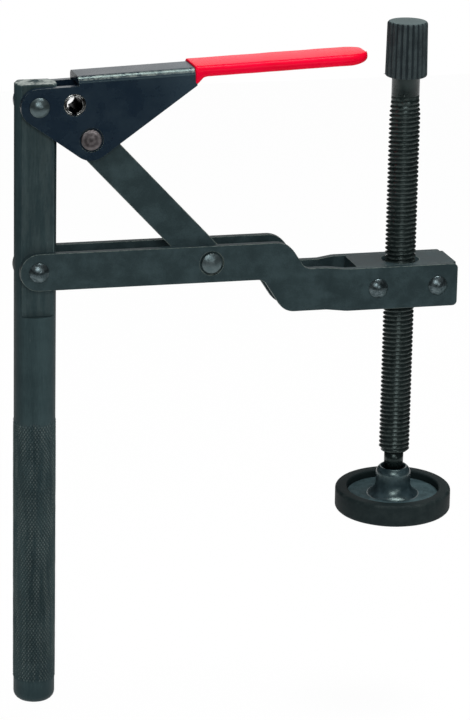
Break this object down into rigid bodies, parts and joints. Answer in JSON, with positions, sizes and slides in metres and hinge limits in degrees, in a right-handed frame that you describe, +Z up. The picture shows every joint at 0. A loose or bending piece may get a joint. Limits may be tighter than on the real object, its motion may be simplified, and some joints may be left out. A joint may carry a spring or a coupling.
{
  "type": "toggle clamp",
  "caption": "Hold-down toggle clamp on a round knurled post, with a folded lever, a flat link, a cranked double-plate arm and a screw spindle with a swivel pad.",
  "frame": {"origin": "on the post's axis at the upper end of its knurled length, where it leaves the hole that holds it", "axes": "+Z up along the post, +X out along the arm to the spindle, +Y to the rear plate"},
  "size_m": [0.1759, 0.0458, 0.2646],
  "materials": {
    "black_steel": "blackened steel, satin",
    "bare_steel": "dark bare steel",
    "red_vinyl": "glossy dipped vinyl",
    "knob_plastic": "matt moulded plastic",
    "pad_rubber": "matt black rubber"
  },
  "bodies": {
    "post": {"post": "black_steel"},
    "arm": {"arm_plate_front": "black_steel", "arm_plate_rear": "black_steel", "arm_rivet": "black_steel", "link_lower_pin": "bare_steel", "thread_block": "black_steel", "block_rivet_inner": "black_steel", "block_rivet_outer": "black_steel"},
    "lever": {"lever": "black_steel", "grip": "red_vinyl", "stop_pin": "bare_steel", "lever_rivet": "black_steel", "link_upper_pin": "bare_steel"},
    "link": {"link": "black_steel"},
    "spindle": {"spindle": "black_steel", "knob": "knob_plastic"},
    "pad": {"pad_socket": "black_steel", "pad_cap": "pad_rubber"}
  },
  "joints": [
    {"name": "arm_pivot", "type": "hinge", "parent": "post", "child": "arm", "pos_m": [0, 0, 0.0593], "axis": [0, -1, 0], "range_deg": [-1.99, 2.72]},
    {"name": "lever_pivot", "type": "hinge", "parent": "post", "child": "lever", "pos_m": [0, 0, 0.1228], "axis": [0, -1, 0], "range_deg": [-15, 20.5]},
    {"name": "link_pivot", "type": "hinge", "parent": "arm", "child": "link", "pos_m": [0.067, 0, 0.0597], "axis": [0, -1, 0], "range_deg": [-7.6, 5.55]},
    {"name": "spindle_feed", "type": "slide", "parent": "arm", "child": "spindle", "axis": [0, 0, 1], "range_m": [-0.072, 0.064]},
    {"name": "pad_swivel", "type": "hinge", "parent": "spindle", "child": "pad", "pos_m": [0.1446, 0, -0.035], "axis": [1, 0, 0], "range_deg": [-9.6, 4.4]}
  ],
  "couplings": [
    {"joint": "lever_pivot", "follows": "arm_pivot", "ratio": 7.5193},
    {"joint": "link_pivot", "follows": "arm_pivot", "ratio": -2.7782}
  ]
}
